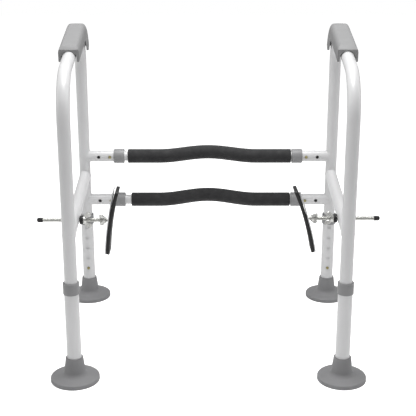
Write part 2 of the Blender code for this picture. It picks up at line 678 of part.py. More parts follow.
def add_wing_nuts(side):
    """The nut that drives the rod pushes outwards on the washer, the other locks the pad."""
    inward = Matrix.Rotation(math.pi, 4, "Y")
    turn = Matrix.Rotation(math.pi / 2 - SIGN[side] * DRIVE_NUT_TURN[side], 4, "Z")
    add_wing_nut(side + "_drive_wing_nut", DRIVE_NUT, clamp_frame(side, DRIVE_NUT_BASE) @ inward @ turn)
    turn = Matrix.Rotation(math.pi / 2 + SIGN[side] * LOCK_NUT_TURN[side], 4, "Z")
    add_wing_nut(side + "_lock_wing_nut", LOCK_NUT, clamp_frame(side, LOCK_NUT_BASE) @ turn)


def pad_place(side):
    """The pad's own space on its pin: X points outwards, away from the bowl."""
    flip = Matrix.Rotation(0 if side == "right" else math.pi, 4, "Z")
    tilt = Matrix.Rotation(-SIGN[side] * PAD_TILT[side], 4, "Y")
    return Matrix.Translation(clamp_frame(side, CLAMP_REACH).translation) @ tilt @ flip


def pad_frames(offset, flare):
    """Frames up the pad's bowed height, offset outwards from the pin's axis."""
    points = []
    for i in range(PAD_STEPS + 1):
        t = 2 * i / PAD_STEPS - 1
        stand_off = flare * max(t, 0) ** 1.5
        points.append(Vector((offset + stand_off - PAD_BOW * t * t, 0, t * PAD_HEIGHT / 2)))
    return frames_along(points, (0, 1, 0))


def slab(thickness, width, offset, flare):
    half, deep, chamfer = width / 2, thickness / 2, min(thickness / 4, PAD_CHAMFER)
    ring = [(-half, -deep + chamfer), (-half + chamfer, -deep), (half - chamfer, -deep)]
    ring += [(half, -deep + chamfer), (half, deep - chamfer), (half - chamfer, deep)]
    ring += [(-half + chamfer, deep), (-half, deep - chamfer)]
    return bar(ring, pad_frames(offset, flare))


def add_pad(side):
    """The steel plate, its rubber facing and the pin that joins the plate to the rod's eye."""
    place = pad_place(side)
    plate_offset = PLATE_OFFSET + PLATE_THICKNESS / 2
    plate = slab(PLATE_THICKNESS, PAD_WIDTH + 2 * PLATE_OVERHANG, plate_offset, PLATE_FLARE)
    plate = add_object(side + "_pad_plate", plate, "white_paint", place)
    window = bmesh.new()
    half = EYE_THICKNESS / 2 + 2 * GAP
    box(window, (-0.01, -half, -POCKET_HEIGHT / 2 + 0.001), (0.01, half, POCKET_HEIGHT / 2 - 0.001))
    boolean(plate, add_helper(side + "_plate_window_cutter", window, place), "DIFFERENCE")
    pivot = axis_frame((0, 0, 0), (0, 1, 0), (1, 0, 0))
    for sign in SIGN.values():
        lug = bmesh.new()
        across = Matrix.Translation((0, sign * (half + EAR_THICKNESS / 2), 0)) @ pivot
        cylinder(lug, 2 * PIN_RADIUS, across, -EAR_THICKNESS / 2, EAR_THICKNESS / 2)
        boolean(plate, add_helper(f"{side}_plate_ear_{sign + 1}", lug, place), "UNION")
    hole = bmesh.new()
    cylinder(hole, PIN_RADIUS + GAP, pivot, -EYE_THICKNESS, EYE_THICKNESS)
    boolean(plate, add_helper(side + "_plate_pin_cutter", hole, place), "DIFFERENCE")
    rubber_offset = PLATE_OFFSET - GAP - RUBBER_THICKNESS / 2
    rubber = slab(RUBBER_THICKNESS, PAD_WIDTH, rubber_offset, 0)
    rubber = add_object(side + "_pad_rubber", rubber, "rubber_black", place)
    pocket = bmesh.new()
    low = (-POCKET_DEPTH, -POCKET_WIDTH / 2, -POCKET_HEIGHT / 2)
    box(pocket, low, (0.01, POCKET_WIDTH / 2, POCKET_HEIGHT / 2))
    boolean(rubber, add_helper(side + "_rubber_pocket_cutter", pocket, place), "DIFFERENCE")
    pin = bmesh.new()
    reach = half + EAR_THICKNESS + GAP
    cylinder(pin, PIN_RADIUS, pivot, -reach, reach)
    add_object(side + "_pad_pivot_pin", pin, "zinc_steel", place)


def main():
    clear_scene()
    for level in BAR_HEIGHTS:
        add_crossbar(level)
    for side in SIDES:
        space = add_side_empty(side)
        add_side_tube(side, space)
        add_brace(side, space)
        add_grip(side, space)
        for place in LEG_PLACES:
            add_leg(side, place, space)
        for level in BAR_HEIGHTS:
            add_stub(side, level)
            add_bar_collar(side, level)
            add_bar_button(side, level)
        add_rod(side)
        add_rod_cap(side)
        add_washer(side)
        add_wing_nuts(side)
        add_pad(side)


main()
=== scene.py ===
"""The finished look of a toilet safety frame, built over its fixed working model.

Metres and radians. +X is to the right as seen from the front, +Y to the rear, +Z up.
"""

import json
import math

import bmesh
import bpy
from bpy.props import FloatProperty, FloatVectorProperty, PointerProperty
from bpy.types import Operator, Panel, PropertyGroup
from mathutils import Matrix, Vector


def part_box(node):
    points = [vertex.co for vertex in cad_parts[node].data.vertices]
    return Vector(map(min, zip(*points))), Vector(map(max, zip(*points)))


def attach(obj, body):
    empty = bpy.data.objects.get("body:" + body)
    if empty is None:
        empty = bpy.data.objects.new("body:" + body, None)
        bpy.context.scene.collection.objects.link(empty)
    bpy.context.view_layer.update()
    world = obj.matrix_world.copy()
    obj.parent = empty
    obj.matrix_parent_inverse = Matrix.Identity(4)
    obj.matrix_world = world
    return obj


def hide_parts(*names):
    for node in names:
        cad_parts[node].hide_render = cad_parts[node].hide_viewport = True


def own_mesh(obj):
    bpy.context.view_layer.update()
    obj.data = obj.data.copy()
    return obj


bl_info = {
    "name": "Toilet Safety Frame",
    "version": (1, 0, 0),
    "blender": (4, 5, 0),
    "location": "View3D > Sidebar > Safety Frame",
    "description": "Builds the finished surfaces of a toilet safety frame",
    "category": "Object",
}

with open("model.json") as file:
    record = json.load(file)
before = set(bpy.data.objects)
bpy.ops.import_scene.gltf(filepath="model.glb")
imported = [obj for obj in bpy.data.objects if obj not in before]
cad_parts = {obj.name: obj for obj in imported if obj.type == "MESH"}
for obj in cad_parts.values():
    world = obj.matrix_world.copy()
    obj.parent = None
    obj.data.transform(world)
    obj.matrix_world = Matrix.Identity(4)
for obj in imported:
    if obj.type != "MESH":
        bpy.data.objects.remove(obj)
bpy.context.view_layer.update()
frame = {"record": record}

SIDES = {"left": -1, "right": 1}
PLACES = ("front", "rear")
LEVELS = ("upper", "lower")
BODY_OF = {
    node: body for body, nodes in frame["record"]["behaviour"]["bodies"].items() for node in nodes
}
JOINTS = {joint["name"]: joint for joint in frame["record"]["behaviour"]["joints"]}
SLOT_OF = {entry["node"]: entry["material_slot"] for entry in frame["record"]["subparts"]}

ROUND = 48  # facets round a tube
SMALL = 24  # facets round a rod, a nut or a button
MERGE = 1e-5

HOLE_PITCH = 0.0254  # between a leg's adjusting holes
LEG_HOLES = 5
HOLE_RADIUS = 0.0038
BUTTON_DROP = 0.005  # from a button's middle to its spring's lower end
BUTTON_PROUD = 0.0022  # how far a button stands out of the outer tube

WING_THICKNESS = 0.0025
WING_NUTS = {  # degrees is each nut's turn from upright at rest
    "drive": {"span": 0.036, "tip": 0.0055, "hub": 0.008, "degrees": {"left": 13, "right": 28}},
    "lock": {"span": 0.027, "tip": 0.0045, "hub": 0.0068, "degrees": {"left": 20, "right": 27}},
}

PAD_WIDTH = 0.046
PAD_HEIGHT = 0.133
PAD_BOW = 0.004
PAD_TILT = {"left": 9.5, "right": 16.5}  # degrees, at rest
PLATE_WIDTH = 0.048
PLATE_FLARE = 0.003


class FrameSizes(PropertyGroup):
    """Sizes that shape the finished pieces."""

    frame_tube: FloatProperty(
        name="Frame tube", description="Outside of the bent tubes", default=0.0254, unit="LENGTH"
    )
    leg_tube: FloatProperty(
        name="Leg tube", description="Outside of the lower legs", default=0.0286, unit="LENGTH"
    )
    brace_tube: FloatProperty(
        name="Brace tube", description="Outside of the braces", default=0.0254, unit="LENGTH"
    )
    bar_tube: FloatProperty(
        name="Crossbar tube", description="Outside of the crossbars", default=0.0222, unit="LENGTH"
    )
    wall: FloatProperty(
        name="Wall", description="Thickness of every tube's wall", default=0.0012, unit="LENGTH"
    )
    handrail_height: FloatProperty(
        name="Handrail height", description="Middle of the sloping top", default=0.620, unit="LENGTH"
    )
    handrail_slope: FloatProperty(
        name="Handrail slope", description="Rise to the rear", default=math.radians(6), unit="ROTATION"
    )
    front_bend: FloatProperty(
        name="Front bend", description="Radius of the front bend", default=0.088, unit="LENGTH"
    )
    rear_bend: FloatProperty(
        name="Rear bend", description="Radius of the rear bend", default=0.080, unit="LENGTH"
    )
    grip_width: FloatProperty(
        name="Grip width", description="Width of the hand grips", default=0.0406, unit="LENGTH"
    )
    grip_top: FloatProperty(
        name="Grip top", description="Grip's top above the tube's centre", default=0.0234, unit="LENGTH"
    )
    foam: FloatProperty(
        name="Foam", description="Outside of the foam sleeves", default=0.0318, unit="LENGTH"
    )
    bow: FloatProperty(
        name="Bow", description="How far the crossbars bow back", default=0.038, unit="LENGTH"
    )
    bow_half_length: FloatProperty(
        name="Bow half length", description="Half of the bowed stretch", default=0.112, unit="LENGTH"
    )
    rod: FloatProperty(
        name="Rod", description="Outside of the clamp rods' thread", default=0.008, unit="LENGTH"
    )
    thread_pitch: FloatProperty(
        name="Thread pitch", description="Rise of one turn of thread", default=0.00125, unit="LENGTH"
    )
    weld: FloatProperty(
        name="Weld", description="Radius of the weld beads", default=0.0010, unit="LENGTH"
    )


class FrameColours(PropertyGroup):
    """Colours of the finishes."""

    paint: FloatVectorProperty(
        name="Paint", description="Powder coat", default=(0.68, 0.68, 0.685), subtype="COLOR"
    )
    grip: FloatVectorProperty(
        name="Grip", description="Hand grips", default=(0.25, 0.25, 0.2525), subtype="COLOR"
    )
    collar: FloatVectorProperty(
        name="Collar", description="Guide collars", default=(0.255, 0.255, 0.26), subtype="COLOR"
    )
    foot: FloatVectorProperty(
        name="Foot", description="Rubber feet", default=(0.225, 0.225, 0.23), subtype="COLOR"
    )
    foam: FloatVectorProperty(
        name="Foam", description="Foam sleeves", default=(0.013, 0.013, 0.014), subtype="COLOR"
    )
    rubber: FloatVectorProperty(
        name="Rubber", description="Pads and washers", default=(0.007, 0.007, 0.0075), subtype="COLOR"
    )
    zinc: FloatVectorProperty(
        name="Zinc", description="Plated rods and nuts", default=(0.66, 0.66, 0.64), subtype="COLOR"
    )
    brass: FloatVectorProperty(
        name="Button", description="Yellow-plated buttons", default=(0.44, 0.39, 0.20), subtype="COLOR"
    )


# ---- materials ------------------------------------------------------------------------


class Value:
    """A number in a shader graph that sums and products can be written with."""

    def __init__(self, graph, socket):
        self.graph = graph
        self.socket = socket

    def _math(self, operation, first, second):
        node = self.graph.node("ShaderNodeMath", {"operation": operation}, {0: first, 1: second})
        return Value(self.graph, node.outputs[0])

    def __add__(self, other):
        return self._math("ADD", self, other)

    def __radd__(self, other):
        return self._math("ADD", other, self)

    def __sub__(self, other):
        return self._math("SUBTRACT", self, other)

    def __rsub__(self, other):
        return self._math("SUBTRACT", other, self)

    def __mul__(self, other):
        return self._math("MULTIPLY", self, other)

    def __rmul__(self, other):
        return self._math("MULTIPLY", other, self)


class Graph:
    """The node graph of one new material."""

    def __init__(self, name):
        self.material = bpy.data.materials.new(name)
        self.material.use_nodes = True
        self.tree = self.material.node_tree
        self.shader = self.tree.nodes["Principled BSDF"]
        self.place = self.node("ShaderNodeTexCoord", {}, {}).outputs["Object"]

    def node(self, kind, settings, inputs):
        """A node with its settings made first, then the values or links of its sockets."""
        node = self.tree.nodes.new(kind)
        for key, value in settings.items():
            setattr(node, key, value)
        for key, value in inputs.items():
            self.feed(node.inputs[key], value)
        return node

    def feed(self, socket, value):
        if isinstance(value, Value):
            value = value.socket
        if isinstance(value, bpy.types.NodeSocket):
            self.tree.links.new(value, socket)
        else:
            socket.default_value = value

    def noise(self, scale, detail=2.0, roughness=0.5, place=None):
        sockets = {"Vector": place or self.place, "Scale": scale, "Detail": detail, "Roughness": roughness}
        return Value(self, self.node("ShaderNodeTexNoise", {}, sockets).outputs["Fac"])

    def cells(self, scale, feature="F1"):
        sockets = {"Vector": self.place, "Scale": scale}
        node = self.node("ShaderNodeTexVoronoi", {"feature": feature}, sockets)
        return Value(self, node.outputs["Distance"])

    def height(self):
        """How high over the floor a point is."""
        split = self.node("ShaderNodeSeparateXYZ", {}, {0: self.place})
        return Value(self, split.outputs["Z"])

    def fade(self, value, low, high, start=0.0, end=1.0):
        """Runs from start to end as value runs from low to high, and stops there."""
        sockets = {"Value": value, "From Min": low, "From Max": high, "To Min": start, "To Max": end}
        node = self.node("ShaderNodeMapRange", {"clamp": True}, sockets)
        return Value(self, node.outputs["Result"])

    def blend(self, factor, first, second):
        """A colour between two others."""
        node = self.node("ShaderNodeMix", {"data_type": "RGBA"}, {"Factor": factor})
        self.feed(node.inputs[6], (*first, 1) if len(first) == 3 else first)
        self.feed(node.inputs[7], (*second, 1) if len(second) == 3 else second)
        return node.outputs[2]

    def bump(self, height, strength, distance):
        sockets = {"Height": height, "Strength": strength, "Distance": distance}
        self.feed(self.shader.inputs["Normal"], self.node("ShaderNodeBump", {}, sockets).outputs["Normal"])

    def set(self, **values):
        for key, value in values.items():
            self.feed(self.shader.inputs[key.replace("_", " ")], value)


def shade(colour, amount):
    return tuple(channel * amount for channel in colour)


def make_paint(graph, colours):
    """Powder coat: fine orange peel, with a faint clouding."""
    cloud = graph.fade(graph.noise(14, 3), 0.35, 0.65)
    graph.set(Base_Color=graph.blend(cloud, shade(colours.paint, 0.975), colours.paint))
    graph.set(Roughness=graph.fade(graph.noise(60, 3), 0.3, 0.7, 0.28, 0.38), Coat_Weight=0.25)
    graph.shader.inputs["Coat Roughness"].default_value = 0.2
    graph.bump(graph.noise(700, 2), 0.10, 0.0002)


def make_grip(graph, colours):
    """Soft moulded plastic with a fine spark-eroded grain, rubbed a little smoother in places."""
    worn = graph.fade(graph.noise(18, 3), 0.42, 0.68)
    grain = graph.cells(2600)
    graph.set(Base_Color=graph.blend(worn, colours.grip, shade(colours.grip, 1.06)))
    graph.set(Roughness=0.62 - worn * 0.12)
    graph.bump(grain * (1 - worn * 0.5), 0.22, 0.0002)


def make_collar(graph, colours):
    """Hard moulded plastic, a little uneven where it was moulded."""
    cloud = graph.noise(55, 3)
    graph.set(Base_Color=graph.blend(cloud, shade(colours.collar, 0.93), shade(colours.collar, 1.05)))
    graph.set(Roughness=graph.fade(cloud, 0.3, 0.7, 0.42, 0.56))
    graph.bump(graph.noise(1500, 2), 0.12, 0.0002)


def make_foot(graph, colours):
    """Moulded rubber, paler with dust near the floor."""
    dust = graph.fade(graph.height(), 0.0, 0.022, 1, 0) * graph.fade(graph.noise(90, 4), 0.35, 0.7)
    graph.set(Base_Color=graph.blend(dust * 0.35, colours.foot, shade(colours.foot, 1.35)))
    graph.set(Roughness=0.60 + dust * 0.22)
    graph.bump(graph.noise(1100, 3), 0.25, 0.0002)


def make_foam(graph, colours):
    """Closed-cell foam: a skin of small cells with soft dents."""
    cells = graph.cells(900)
    dents = graph.noise(70, 3)
    graph.set(Base_Color=graph.blend(cells, shade(colours.foam, 0.75), shade(colours.foam, 1.5)))
    graph.set(Roughness=graph.fade(dents, 0.3, 0.7, 0.72, 0.9))
    graph.shader.inputs["Sheen Weight"].default_value = 0.15
    graph.bump(cells * 0.5 + dents, 0.5, 0.0006)


def make_rubber(graph, colours):
    """Smooth black rubber with faint bloom."""
    bloom = graph.fade(graph.noise(80, 4), 0.45, 0.75)
    graph.set(Base_Color=graph.blend(bloom * 0.5, colours.rubber, shade(colours.rubber, 2.2)))
    graph.set(Roughness=0.48 + bloom * 0.2)
    graph.bump(graph.noise(1300, 2), 0.15, 0.0002)


def make_cap(graph, colours):
    """Glossier black plastic."""
    cloud = graph.noise(120, 3)
    graph.set(Base_Color=graph.blend(cloud, shade(colours.rubber, 0.9), shade(colours.rubber, 1.5)))
    graph.set(Roughness=graph.fade(cloud, 0.3, 0.7, 0.28, 0.42))
    graph.bump(graph.noise(900, 2), 0.08, 0.0002)


def make_zinc(graph, colours):
    """Bright zinc plate over cast or rolled steel, with duller patches."""
    dull = graph.fade(graph.noise(260, 4), 0.45, 0.7)
    graph.set(Base_Color=graph.blend(dull, colours.zinc, shade(colours.zinc, 0.78)), Metallic=1.0)
    graph.set(Roughness=0.24 + dull * 0.2)
    graph.bump(graph.noise(1800, 3), 0.15, 0.0001)


def make_brass(graph, colours):
    """Yellow-passivated steel."""
    tint = graph.fade(graph.noise(300, 3), 0.35, 0.65)
    graph.set(Base_Color=graph.blend(tint, colours.brass, shade(colours.brass, 0.72)), Metallic=1.0)
    graph.set(Roughness=0.30 + tint * 0.15)
    graph.bump(graph.noise(2200, 2), 0.1, 0.0001)


FINISHES = {
    "white_paint": make_paint,
    "bar_paint": make_paint,
    "plate_paint": make_paint,
    "grip_grey": make_grip,
    "collar_grey": make_collar,
    "foot_rubber": make_foot,
    "foam_black": make_foam,
    "rubber_black": make_rubber,
    "cap_black": make_cap,
    "zinc_steel": make_zinc,
    "button_brass": make_brass,
}


def finish_material(slot):
    """The finish of one of the record's material slots, made once."""
    name = "finish_" + slot
    found = bpy.data.materials.get(name)
    if found:
        return found
    graph = Graph(name)
    FINISHES[slot](graph, bpy.context.scene.frame_colours)
    return graph.material


# ---- shapes ---------------------------------------------------------------------------


def circle(bm, radius, sides, place):
    made = bmesh.ops.create_circle(bm, segments=sides, radius=radius, matrix=place)
    return list({edge for vert in made["verts"] for edge in vert.link_edges})


def outline(bm, points, place):
    """A closed ring of edges through (x, y) points of the place."""
    verts = [bm.verts.new(place @ Vector((x, y, 0))) for x, y in points]
    return [bm.edges.new(pair) for pair in zip(verts, verts[1:] + verts[:1])]


def sweep(bm, edges, places):
    """Carries a ring of edges, drawn at the first place, through all the others."""
    for here, there in zip(places, places[1:]):
        made = bmesh.ops.extrude_edge_only(bm, edges=edges)["geom"]
        verts = {item for item in made if isinstance(item, bmesh.types.BMVert)}
        edges = [item for item in made if isinstance(item, bmesh.types.BMEdge) and set(item.verts) <= verts]
        bmesh.ops.transform(bm, matrix=there @ here.inverted(), verts=list(verts))
    return edges


def axis_place(origin, direction, side=(0, 1, 0)):
    """A place with its Z along direction and its X as near as can be to side."""
    z = Vector(direction).normalized()
    y = z.cross(Vector(side)).normalized()
    place = Matrix((y.cross(z), y, z)).transposed().to_4x4()
    place.translation = Vector(origin)
    return place


def places_along(points, side):
    """A place at each point of a flat path, square to it. side is the path plane's normal."""
    places = []
    for i, point in enumerate(points):
        before = points[max(i - 1, 0)]
        after = points[min(i + 1, len(points) - 1)]
        places.append(axis_place(point, after - before, side))
    return places


def pipe(bm, radius, wall, places, sides=ROUND):
    """A hollow tube: a ring carried along the places, drawn in, and carried back inside."""
    inner = (radius - wall) / radius
    shrink = Matrix.Diagonal((inner, inner, 1, 1))
    back = [place @ shrink for place in reversed(places)]
    sweep(bm, circle(bm, radius, sides, places[0]), [*places, *back, places[0]])


def solid_bar(bm, points, places):
    """A solid bar of the outline through the points, carried along the places."""
    start = outline(bm, points, places[0])
    end = sweep(bm, start, places)
    caps = bmesh.ops.edgeloop_fill(bm, edges=start)["faces"]
    return caps + bmesh.ops.edgeloop_fill(bm, edges=end)["faces"]


def turned(bm, profile, place, sides=ROUND, closed=False):
    """A profile of (radius, height) points, turned about the place's Z."""
    verts = [bm.verts.new(place @ Vector((radius, 0, height))) for radius, height in profile]
    pairs = list(zip(verts, verts[1:]))
    if closed:
        pairs.append((verts[-1], verts[0]))
    edges = [bm.edges.new(pair) for pair in pairs]
    axis = place.to_3x3() @ Vector((0, 0, 1))
    centre = place.translation
    bmesh.ops.spin(
        bm, geom=verts + edges, cent=centre, axis=axis, angle=math.tau, steps=sides, use_merge=True
    )


def rounded(corners, radius, steps=4):
    """The (x, y) points of a path with each inner corner rounded. A corner may state its own radius."""
    points = [corners[0][:2]]
    for before, here, after in zip(corners, corners[1:], corners[2:]):
        size = here[2] if len(here) > 2 else radius
        point = Vector(here[:2])
        arm_in = (Vector(before[:2]) - point).normalized()
        arm_out = (Vector(after[:2]) - point).normalized()
        half = arm_in.angle(arm_out) / 2
        if size <= 0 or half > math.radians(89):
            points.append(tuple(point))
            continue
        reach = size / math.tan(half)
        start, end = point + arm_in * reach, point + arm_out * reach
        centre = point + (arm_in + arm_out).normalized() * (size / math.sin(half))
        ray, last = start - centre, end - centre
        sweep_angle = math.atan2(ray.x * last.y - ray.y * last.x, ray.dot(last))
        for i in range(steps + 1):
            points.append(tuple(centre + Matrix.Rotation(sweep_angle * i / steps, 2) @ ray))
    points.append(corners[-1][:2])
    return points


def arc(centre, radius, start, end, steps):
    """Points of an arc given by its tangent's direction at both ends, turning clockwise."""
    turns = [start + (end - start) * i / steps for i in range(steps + 1)]
    return [(centre[0] - radius * math.sin(turn), centre[1] + radius * math.cos(turn)) for turn in turns]


def new_object(name, bm):
    """An object of the bmesh, closed and facing outwards."""
    bmesh.ops.remove_doubles(bm, verts=bm.verts, dist=MERGE)
    bmesh.ops.recalc_face_normals(bm, faces=bm.faces)
    mesh = bpy.data.meshes.new(name)
    bm.to_mesh(mesh)
    bm.free()
    obj = bpy.data.objects.new(name, mesh)
    bpy.context.scene.collection.objects.link(obj)
    return obj


def apply_modifiers(obj):
    """The object's mesh with its modifiers made part of it."""
    graph = bpy.context.evaluated_depsgraph_get()
    mesh = bpy.data.meshes.new_from_object(obj.evaluated_get(graph))
    obj.modifiers.clear()
    obj.data = mesh


def drill(obj, bm):
    """Cuts the bmesh's solids out of the object."""
    cutter = new_object(obj.name + "_cutter", bm)
    modifier = obj.modifiers.new("drill", "BOOLEAN")
    modifier.operation = "DIFFERENCE"
    modifier.solver = "EXACT"
    modifier.object = cutter
    apply_modifiers(obj)
    bpy.data.objects.remove(cutter, do_unlink=True)


def rod_solid(bm, radius, place, start, end, sides=SMALL):
    """A solid cylinder on the place's Z axis."""
    middle = place @ Matrix.Translation((0, 0, (start + end) / 2))
    bmesh.ops.create_cone(
        bm, cap_ends=True, segments=sides, radius1=radius, radius2=radius, depth=end - start, matrix=middle
    )


def finish(obj, node, replaced=(), angle=35):
    """Gives the piece its CAD node's finish and body, and hides that node."""
    slot = SLOT_OF[node]
    obj.data.materials.clear()
    obj.data.materials.append(finish_material(slot))
    obj.data.shade_smooth()
    obj.data.set_sharp_from_angle(angle=math.radians(angle))
    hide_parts(node, *replaced)
    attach(obj, BODY_OF[node])
    return obj


# ---- places in the working model ------------------------------------------------------


def centre_of(node):
    low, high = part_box(node)
    return (Vector(low) + Vector(high)) / 2


def side_space(side):
    """A side frame's own space, on the floor half way between its legs, with Y to the rear."""
    front, rear = (centre_of(f"{side}_{place}_foot") for place in PLACES)
    y = rear - front
    y.z = 0
    half = y.length / 2
    y.normalize()
    z = Vector((0, 0, 1))
    middle = (front + rear) / 2
    middle.z = 0
    space = Matrix((y.cross(z), y, z)).transposed().to_4x4()
    space.translation = middle
    return space, half


def clamp_place(side, reach):
    """A place on the clamp rod's axis, reach from the middle plane, with Z outwards."""
    centre = centre_of(side + "_clamp_rod")
    return axis_place((SIDES[side] * reach, centre.y, centre.z), (SIDES[side], 0, 0))


def reach_of(node):
    """How near to and far from the middle plane a node lies."""
    low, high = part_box(node)
    ends = sorted((abs(low[0]), abs(high[0])))
    return ends[0], ends[1]


# ---- tubes ----------------------------------------------------------------------------


def handrail_z(sizes, along):
    return sizes.handrail_height + along * math.tan(sizes.handrail_slope)


def bend_pairs(sizes, half, place, steps):
    """The centre line of one bend, as (along, height) points, front to rear."""
    slope = sizes.handrail_slope
    if place == "front":
        drop = sizes.front_bend * math.tan((math.pi / 2 - slope) / 2)
        centre = (-half + sizes.front_bend, handrail_z(sizes, -half) - drop)
        return arc(centre, sizes.front_bend, math.pi / 2, slope, steps)
    drop = sizes.rear_bend * math.tan((math.pi / 2 + slope) / 2)
    centre = (half - sizes.rear_bend, handrail_z(sizes, half) - drop)
    return arc(centre, sizes.rear_bend, slope, -math.pi / 2, steps)


def weld_bead(bm, sizes, leg, direction, height, radius):
    """A rippled bead round the joint of a level tube with an upright one."""
    out = Vector(direction).normalized()
    up = Vector((0, 0, 1))
    across = out.cross(up)
    steps = 3 * ROUND
    leg_radius = sizes.frame_tube / 2
    points = []
    for i in range(steps + 1):
        turn = math.tau * i / steps
        rise, swing = radius * math.sin(turn), radius * math.cos(turn)
        away = math.sqrt(leg_radius**2 - min(swing * swing, leg_radius**2))
        points.append(leg + up * (height + rise) + across * swing + out * away)
    places = []
    for i in range(steps):
        turn = math.tau * i / steps
        along = points[(i + 1) % steps] - points[i - 1]
        ripple = sizes.weld * (1 + 0.14 * math.sin(34 * turn))
        place = axis_place(points[i], along, out)
        places.append(place @ Matrix.Diagonal((ripple, ripple, ripple, 1)))
    sweep(bm, circle(bm, 1, 8, places[0]), [*places, places[0]])


class OBJECT_OT_side_frames(Operator):
    """Bent side tubes, their braces and stubs, and the weld beads between them"""

    bl_idname = "object.safety_side_frames"
    bl_label = "Side Frames"

    def execute(self, context):
        sizes = context.scene.frame_sizes
        for side, sign in SIDES.items():
            self.side_tube(sizes, side)
            self.brace(sizes, side)
            for level in LEVELS:
                self.stub(sizes, side, sign, level)
            self.welds(sizes, side, sign)
        return {"FINISHED"}

    def side_tube(self, sizes, side):
        space, half = side_space(side)
        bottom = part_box(side + "_side_frame_tube")[0][2]
        bends = bend_pairs(sizes, half, "front", 16) + bend_pairs(sizes, half, "rear", 16)
        pairs = [(-half, bottom), *bends, (half, bottom)]
        points = [Vector((0, along, height)) for along, height in pairs]
        bm = bmesh.new()
        pipe(bm, sizes.frame_tube / 2, sizes.wall, places_along(points, (-1, 0, 0)))
        bmesh.ops.transform(bm, matrix=space, verts=bm.verts)
        finish(new_object(side + "_side_tube", bm), side + "_side_frame_tube")

    def brace(self, sizes, side):
        space, half = side_space(side)
        height = centre_of(side + "_brace_tube").z
        points = [Vector((0, -half, height)), Vector((0, half, height))]
        bm = bmesh.new()
        pipe(bm, sizes.brace_tube / 2, sizes.wall, places_along(points, (-1, 0, 0)))
        bmesh.ops.transform(bm, matrix=space, verts=bm.verts)
        tube = new_object(side + "_brace", bm)
        bore = bmesh.new()
        low, high = reach_of(side + "_brace_tube")
        rod_solid(bore, sizes.rod / 2 + 0.0006, clamp_place(side, 0), low - 0.01, high + 0.01)
        drill(tube, bore)
        for place in PLACES:
            self.cope(sizes, tube, side, place, height)
        finish(tube, side + "_brace_tube")

    def cope(self, sizes, tube, side, place, height):
        """Shapes a tube's end to the leg that it is welded to."""
        leg = centre_of(f"{side}_{place}_foot")
        leg.z = height
        cut = bmesh.new()
        tall = sizes.frame_tube
        rod_solid(cut, (sizes.frame_tube - sizes.wall) / 2, Matrix.Translation(leg), -tall, tall, ROUND)
        drill(tube, cut)

    def stub(self, sizes, side, sign, level):
        node = f"{side}_{level}_stub_tube"
        centre = centre_of(node)
        start, _ = reach_of(node)
        leg = centre_of(side + "_rear_foot")
        end = abs(leg.x)
        points = [Vector((sign * start, centre.y, centre.z)), Vector((sign * end, centre.y, centre.z))]
        bm = bmesh.new()
        pipe(bm, sizes.frame_tube / 2, sizes.wall, places_along(points, (0, 0, 1)))
        tube = new_object(f"{side}_{level}_stub", bm)
        holes = bmesh.new()
        button = reach_of(f"{side}_{level}_bar_snap_button")[1] - 0.005
        for reach in (button, button + 0.0254):
            place = axis_place((sign * reach, centre.y, centre.z), (0, -1, 0), (1, 0, 0))
            rod_solid(holes, 0.0038, place, 0.004, sizes.frame_tube)
        drill(tube, holes)
        self.cope(sizes, tube, side, "rear", centre.z)
        finish(tube, node)

    def welds(self, sizes, side, sign):
        space, _ = side_space(side)
        along = space.to_3x3() @ Vector((0, 1, 0))
        height = centre_of(side + "_brace_tube").z
        bm = bmesh.new()
        for place, way in zip(PLACES, (1, -1)):
            leg = centre_of(f"{side}_{place}_foot")
            leg.z = 0
            weld_bead(bm, sizes, leg, along * way, height, sizes.brace_tube / 2 - 0.0002)
            if place == "rear":
                for level in LEVELS:
                    stub = centre_of(f"{side}_{level}_stub_tube").z
                    weld_bead(bm, sizes, leg, (-sign, 0, 0), stub, sizes.frame_tube / 2 - 0.0002)
        beads = new_object(side + "_weld_beads", bm)
        beads.data.materials.append(finish_material("white_paint"))
        beads.data.shade_smooth()
        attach(beads, BODY_OF[side + "_brace_tube"])


# ---- legs -----------------------------------------------------------------------------


def ring_profile(bore_low, bore_high, outer, low, high, step):
    """A collar's section: two bores that meet at a step, and soft outer edges."""
    corners = [
        (bore_low, low + 0.0005),
        (bore_low + 0.0002, low),
        (outer, low, 0.0008),
        (outer, high, 0.0013),
        (bore_high + 0.0004, high),
        (bore_high, high - 0.0005),
        (bore_high, step),
        (bore_low, step),
    ]
    return rounded(corners, 0)


